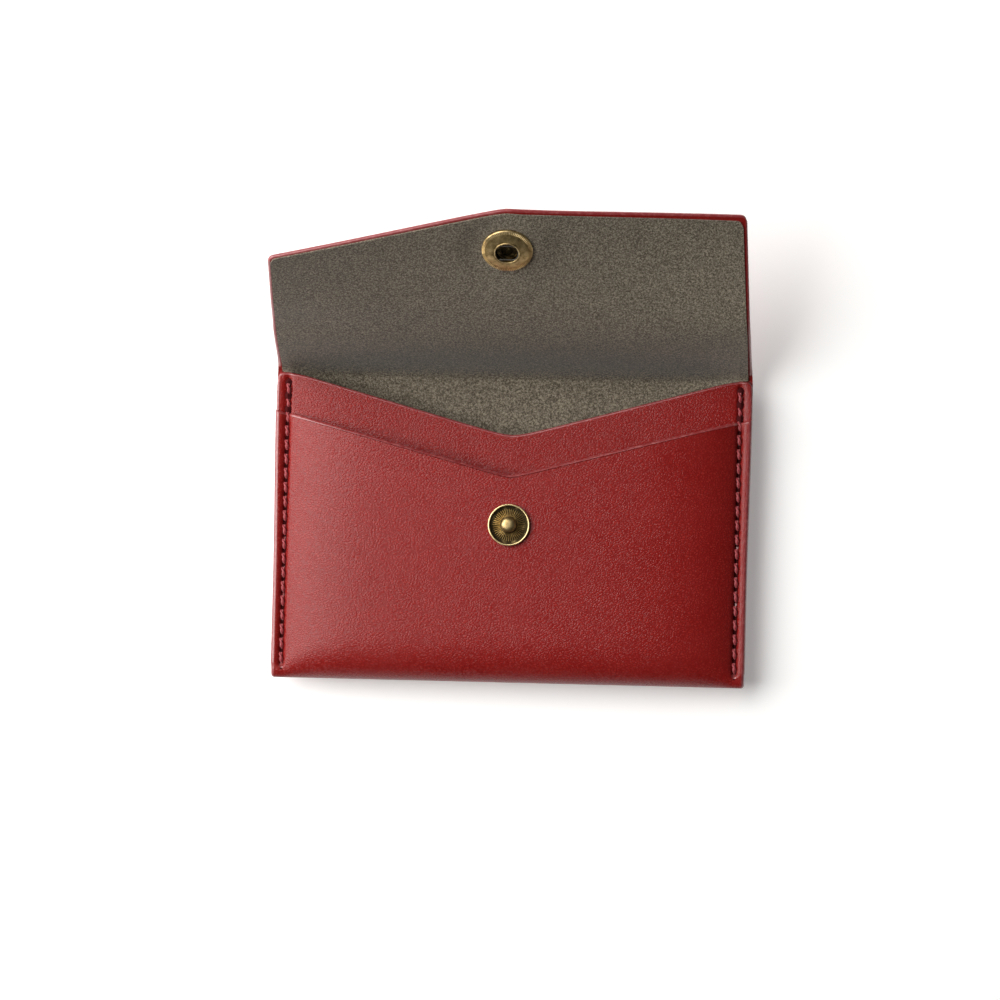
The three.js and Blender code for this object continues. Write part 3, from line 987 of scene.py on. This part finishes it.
# a round piece from (radius, height, rub) rows, turned about its own axis and then put in place
def turnedPiece(name, rows, segments, material, place, tree=None, values=None, capped=True):
    points = []
    rubs = []
    for radius, height, rub in rows:
        for k in range(segments):
            angle = 2 * math.pi * k / segments
            points.append((radius * math.cos(angle), radius * math.sin(angle), height))
            rubs.append(rub)
    faces = []
    for i in range(len(rows) - 1):
        for k in range(segments):
            after = (k + 1) % segments
            faces.append((i * segments + k, i * segments + after,
                          (i + 1) * segments + after, (i + 1) * segments + k))
    if capped:
        faces.append(tuple(range(segments))[::-1])
        faces.append(tuple((len(rows) - 1) * segments + k for k in range(segments)))
    piece = newPiece(name, points, faces, [material])
    piece.data.attributes.new("rub", "FLOAT", "POINT").data.foreach_set("value", rubs)
    piece.data.set_sharp_from_angle(angle=sharpFrom["turned"])
    if tree:
        runTree(piece, tree, {**values, "Material": material})
    piece.data.transform(place)
    return piece


ribSides = 6


# a ring of small bars pointing out from the axis, joined to the turned body
def ribTree():
    tree, make = newTree("ribRing", {
        "Count": "Int", "Middle": "Float", "Length": "Float", "Width": "Float", "Height": "Float",
        "Level": "Float", "Tilt": "Float", "Rub": "Float", "Material": "Material"})
    given = make("NodeGroupInput").outputs
    ring = make("GeometryNodeMeshCircle", None, {"Vertices": given["Count"], "Radius": given["Middle"]})
    where = make("GeometryNodeInputPosition")
    facing = make("FunctionNodeAlignRotationToVector", {"axis": "X"}, {"Vector": where})
    half = maths(make, "MULTIPLY", given["Width"], 0.5)
    bar = make("GeometryNodeMeshCylinder", None, {
        "Vertices": ribSides, "Radius": half, "Depth": given["Length"]})
    tall = maths(make, "DIVIDE", given["Height"], half)
    size = make("ShaderNodeCombineXYZ", None, {0: tall, 1: 1.0, 2: 1.0})
    shaped = make("GeometryNodeTransform", None, {"Geometry": bar, "Scale": size})
    slope = maths(make, "ADD", given["Tilt"], math.pi / 2)
    lean = make("ShaderNodeCombineXYZ", None, {1: slope})
    laid = make("GeometryNodeTransform", None, {"Geometry": shaped, "Rotation": lean})
    bars = make("GeometryNodeInstanceOnPoints", None, {"Points": ring, "Instance": laid, "Rotation": facing})
    lift = make("ShaderNodeCombineXYZ", None, {2: given["Level"]})
    raised = make("GeometryNodeTransform", None, {"Geometry": bars, "Translation": lift})
    real = make("GeometryNodeRealizeInstances", None, {"Geometry": raised})
    marked = make("GeometryNodeStoreNamedAttribute", {"data_type": "FLOAT", "domain": "POINT"}, {
        "Geometry": real, "Name": "rub", "Value": given["Rub"]})
    whole = make("GeometryNodeJoinGeometry")
    tree.links.new(given["Geometry"], whole.inputs[0])
    tree.links.new(marked.outputs[0], whole.inputs[0])
    finish = make("GeometryNodeSetMaterial", None, {"Geometry": whole, "Material": given["Material"]})
    make("NodeGroupOutput", None, {"Geometry": finish})
    return tree


ribRing = ribTree()
studSize = {
    "radius": 4.8 * mm, "hole": 0.95 * mm, "chamfer": 0.1 * mm, "edge": 0.12 * mm,
    "rim": 0.42 * mm, "rimHeight": 0.8 * mm, "rimRise": 0.6, "floor": 0.1 * mm,
    "foot": 2.0 * mm, "neck": 1.25 * mm, "neckHeight": 0.55 * mm,
    "ball": 1.75 * mm, "ballHalf": 0.95 * mm, "ballCentre": 1.55 * mm, "ballFlat": 0.7, "ballTop": 12 / 12.4,
}
studRibs = {
    "Count": 44, "Middle": 2.85 * mm, "Length": 1.7 * mm, "Width": 0.2 * mm, "Height": 0.2 * mm,
    "Level": 0.14 * mm, "Tilt": 0.1, "Rub": 0.68,
}


def studRows():
    s = studSize
    wide = s["radius"]
    inside = wide - s["rim"]
    floor = s["floor"]
    foot = s["foot"]
    half = s["rim"] / 2
    tall = half * s["rimRise"]
    rows = [(s["hole"], 0, 0), (wide - s["chamfer"], 0, 0.2), (wide, s["edge"], 0.4)]
    for angle in spaced(0, math.pi, 9):
        up = math.sin(angle)
        rows.append((wide - half + half * math.cos(angle), s["rimHeight"] - tall + tall * up,
                     0.55 + 0.45 * up))
    # the dish floor is set darkest: patina and painted shade under the rim
    rows += [(inside - 0.12 * mm, floor + 0.05 * mm, 0.0), (inside - 0.3 * mm, floor, 0.0),
             (foot + 0.1 * mm, floor, 0.0), (foot, floor + 0.04 * mm, 0.15),
             (foot - 0.25 * mm, floor + 0.16 * mm, 0.2), (s["neck"] + 0.12 * mm, s["neckHeight"], 0.1)]
    low = -math.acos(s["neck"] / s["ball"])
    for angle in spaced(low, low + (math.pi / 2 - low) * s["ballTop"], 13):
        rows.append((s["ball"] * math.cos(angle) ** s["ballFlat"],
                     s["ballCentre"] + s["ballHalf"] * math.sin(angle),
                     0.2 + 0.35 * clamp((angle - low) / 1.6)))
    return rows


snapGap = 0.05 * mm
studPlace = Matrix.Translation((0, studY, frontZ + snapGap))
studPiece = turnedPiece("snapStud", studRows(), 72, antiqueBrass, studPlace, ribRing, studRibs)
fitOne(studPiece, "pocket_body", "snap_stud")

postSize = {
    "flange": 3.5 * mm, "thickness": 0.3 * mm, "chamfer": 0.1 * mm, "dent": 0.3 * mm, "dentDepth": 0.05 * mm,
    "shank": 0.8 * mm, "shankEnd": 0.2 * mm, "depth": 1.4 * mm,
}


def postRows():
    p = postSize
    wide = p["flange"]
    top = frontZ - sheets["leather"] - snapGap
    low = top - p["thickness"]
    end = frontZ + p["depth"]
    return [(p["dent"], low + p["dentDepth"], 0.5), (wide * 0.5, low, 0.6), (wide - p["chamfer"], low, 0.7),
            (wide, low + p["chamfer"], 0.8), (wide, top, 0.4), (p["shank"], top, 0.2),
            (p["shank"], end, 0.2), (p["shankEnd"], end, 0.2)]


postPiece = turnedPiece("studPost", postRows(), 48, antiqueBrass, Matrix.Translation((0, studY, 0)))
fitOne(postPiece, "pocket_body", "stud_post")

# snap pieces on the flap share its turn
flapTurn = Matrix.Rotation(flapAngle, 4, "X")
flapPlace = Matrix.Translation(creasePoint + flapAlong * socketReach) @ flapTurn
socketSize = {
    "radius": 5.75 * mm, "edge": 0.55 * mm, "height": 1.45 * mm, "hole": 2.6 * mm, "lip": 0.3 * mm,
    "lipRise": 0.8, "plate": 0.3 * mm, "tubeHole": 2.05 * mm,
}
socketTeeth = {
    "Count": 84, "Middle": 5.3 * mm, "Length": 0.7 * mm, "Width": 0.24 * mm, "Height": 0.1 * mm,
    "Level": 0.75 * mm + halfLined, "Tilt": 0.28, "Rub": 0.8,
}


def socketRows():
    s = socketSize
    base = halfLined + snapGap
    wide = s["radius"]
    edge = s["edge"]
    outer = s["hole"] + s["lip"]
    half = s["lip"] / 2
    tall = half * s["lipRise"]
    rows = [(s["tubeHole"], 0, 0.1), (wide, 0, 0.3), (wide, edge * 0.7, 0.5), (wide - 0.1 * mm, edge, 0.7),
            (wide - 0.45 * mm, edge + 0.14 * mm, 0.4), (wide - 0.9 * mm, edge + 0.3 * mm, 0.42),
            (wide - 1.5 * mm, edge + 0.48 * mm, 0.55), (outer + 0.55 * mm, edge + 0.66 * mm, 0.55),
            (outer + 0.2 * mm, edge + 0.7 * mm, 0.4), (outer + 0.04 * mm, s["height"] - 0.2 * mm, 0.3)]
    for angle in spaced(0, math.pi, 9):
        up = math.sin(angle)
        rows.append((outer - half + half * math.cos(angle), s["height"] - tall + tall * up, 0.4 + 0.4 * up))
    # inside the hole is set darkest: patina and painted shade
    rows += [(s["hole"], s["plate"] + 0.1 * mm, 0.0), (s["tubeHole"] + 0.02 * mm, s["plate"], 0.0),
             (s["tubeHole"], 0.0, 0.0)]
    return [(radius, height + base, rub) for radius, height, rub in rows]


socketPiece = turnedPiece("snapSocket", socketRows(), 72, antiqueBrass, flapPlace, ribRing, socketTeeth,
                          capped=False)
fitOne(socketPiece, "flap", "snap_socket")

springSize = {
    "wire": 0.18 * mm, "offset": 1.95 * mm, "loop": 2.6 * mm, "height": 1.15 * mm,
    "runSteps": 8, "bendSteps": 14,
}


def springPiece():
    s = springSize
    runEnd = math.sqrt(s["loop"] ** 2 - s["offset"] ** 2)
    bend = math.atan2(s["offset"], runEnd)
    turns = spaced(bend, -bend, s["bendSteps"])[1:-1]
    path = [Vector((x, s["offset"], 0)) for x in spaced(-runEnd, runEnd, s["runSteps"])]
    path += [s["loop"] * Vector((math.cos(a), math.sin(a), 0)) for a in turns]
    path += [Vector((x, -s["offset"], 0)) for x in spaced(runEnd, -runEnd, s["runSteps"])]
    curve = bpy.data.curves.new("socketSpring", "CURVE")
    curve.dimensions = "3D"
    curve.bevel_depth = s["wire"]
    curve.bevel_resolution = 4
    curve.use_fill_caps = True
    spline = curve.splines.new("POLY")
    spline.points.add(len(path) - 1)
    for point, where in zip(spline.points, path):
        point.co = (*where, 1)
    wire = bpy.data.objects.new("socketSpringPath", curve)
    bpy.context.scene.collection.objects.link(wire)
    depsgraph = bpy.context.evaluated_depsgraph_get()
    mesh = bpy.data.meshes.new_from_object(wire.evaluated_get(depsgraph))
    bpy.data.objects.remove(wire)
    mesh.materials.clear()
    mesh.materials.append(darkWire)
    mesh.shade_smooth()
    mesh.transform(flapPlace @ Matrix.Translation((0, 0, halfLined + snapGap + s["height"])))
    piece = bpy.data.objects.new("socketSpring", mesh)
    bpy.context.scene.collection.objects.link(piece)
    fitOne(piece, "flap", "socket_spring")


springPiece()
capSize = {
    "radius": 6.2 * mm, "edge": 0.35 * mm, "dome": 1.3 * mm, "domeStart": math.radians(2.5),
    "tube": 1.9 * mm, "wall": 0.5 * mm, "flare": 0.4 * mm, "flareThickness": 0.2 * mm,
}


def capRows():
    c = capSize
    base = -halfLined - snapGap
    flare = halfLined + snapGap + socketSize["plate"] + snapGap
    dome = []
    for angle in spaced(c["domeStart"], math.pi / 2, 15):
        dome.append((c["radius"] * math.sin(angle), base - c["edge"] - c["dome"] * math.cos(angle),
                     0.55 + 0.25 * math.sin(angle)))
    rim = [(c["radius"] + 0.02 * mm, base - c["edge"] * 0.5, 0.9), (c["radius"] - 0.12 * mm, base, 0.4)]
    outer = c["tube"] + c["flare"]
    inner = c["tube"] - c["wall"]
    thick = c["flareThickness"]
    # the tube's inside is set darkest: patina and painted shade
    tube = [(c["tube"], base, 0.1), (c["tube"], flare, 0.1), (outer, flare, 0.15),
            (outer, flare + thick * 0.6, 0.3), (c["tube"], flare + thick, 0.1),
            (inner, flare + thick * 0.5, 0.0), (inner, halfLined + snapGap, 0.0)]
    return dome + rim + tube


capPiece = turnedPiece("snapCap", capRows(), 72, antiqueBrass, flapPlace)
fitOne(capPiece, "flap", "snap_cap")
print("snap made")

floorLook = {"size": 6.0, "colour": (0.92, 0.92, 0.915), "glow": 0.27, "glowColour": (1, 0.99, 0.975)}


# pale table top that glows a little where it is seen or mirrored, so that it stays white
def floorPiece():
    look = floorLook
    half = look["size"] / 2
    corners = [(-half, -half, 0), (half, -half, 0), (half, half, 0), (-half, half, 0)]
    floor = newPiece("tableTop", corners, [(0, 1, 2, 3)], [])
    white = Finish("whiteTable")
    matt = white.node("ShaderNodeBsdfDiffuse", None, {"Color": look["colour"]})
    glow = white.node("ShaderNodeEmission", None, {"Color": look["glowColour"], "Strength": look["glow"]})
    lit = white.node("ShaderNodeAddShader", None, {0: matt, 1: glow})
    seen = white.node("ShaderNodeLightPath", None, None, "Is Camera Ray")
    mirrored = white.node("ShaderNodeLightPath", None, None, "Is Glossy Ray")
    through = white.node("ShaderNodeLightPath", None, None, "Is Transmission Ray")
    both = white.node("ShaderNodeMixShader", None, {0: seen + mirrored + through, 1: matt, 2: lit})
    white.node("ShaderNodeOutputMaterial", None, {"Surface": both})
    floor.data.materials.append(white.material)


floorPiece()

view = {
    "elevation": math.radians(85.36),
    "azimuth": math.radians(56.3),
    "roll": math.radians(-54.94),
    "distance": 1100 * mm,
    "target": (-3.04 * mm, 7.09 * mm, 0),
    "lens": 171.4,
    "sensor": 36.0,
    "clipEnd": 20,
}


def placeCamera():
    v = view
    back = Vector((math.sin(v["azimuth"]) * math.cos(v["elevation"]),
                   -math.cos(v["azimuth"]) * math.cos(v["elevation"]), math.sin(v["elevation"])))
    right = Vector((math.cos(v["azimuth"]), math.sin(v["azimuth"]), 0))
    up = back.cross(right)
    basis = Matrix((right, up, back)).transposed() @ Matrix.Rotation(v["roll"], 3, "Z")
    data = bpy.data.cameras.new("photoCamera")
    data.lens = v["lens"]
    data.sensor_width = v["sensor"]
    data.clip_end = v["clipEnd"]
    camera = bpy.data.objects.new("photoCamera", data)
    camera.matrix_world = Matrix.Translation(Vector(v["target"]) + back * v["distance"]) @ basis.to_4x4()
    bpy.context.scene.collection.objects.link(camera)
    bpy.context.scene.camera = camera


placeCamera()

lamps = {
    "window": {"place": (-0.43, 0.18, 0.40), "size": 0.79, "power": 8.4, "colour": (1.0, 0.985, 0.965)},
    "ceiling": {"place": (-0.8, 0.3, 1.1), "size": 1.4, "power": 4.2, "colour": (1.0, 1.0, 1.0)},
}
skyStrength = 0.07


def placeLamps():
    for name, lamp in lamps.items():
        data = bpy.data.lights.new(name, "AREA")
        data.shape = "SQUARE"
        data.size = lamp["size"]
        data.energy = lamp["power"]
        data.color = lamp["colour"]
        light = bpy.data.objects.new(name, data)
        where = Vector(lamp["place"])
        aim = (-where).to_track_quat("-Z", "Y")
        light.matrix_world = Matrix.Translation(where) @ aim.to_matrix().to_4x4()
        bpy.context.scene.collection.objects.link(light)
    world = bpy.data.worlds.new("softRoom")
    world.use_nodes = True
    sky = world.node_tree.nodes["Background"]
    sky.inputs["Color"].default_value = (1, 1, 1, 1)
    sky.inputs["Strength"].default_value = skyStrength
    bpy.context.scene.world = world


placeLamps()
bpy.context.scene.view_settings.view_transform = "Standard"
print("camera and lamps placed")
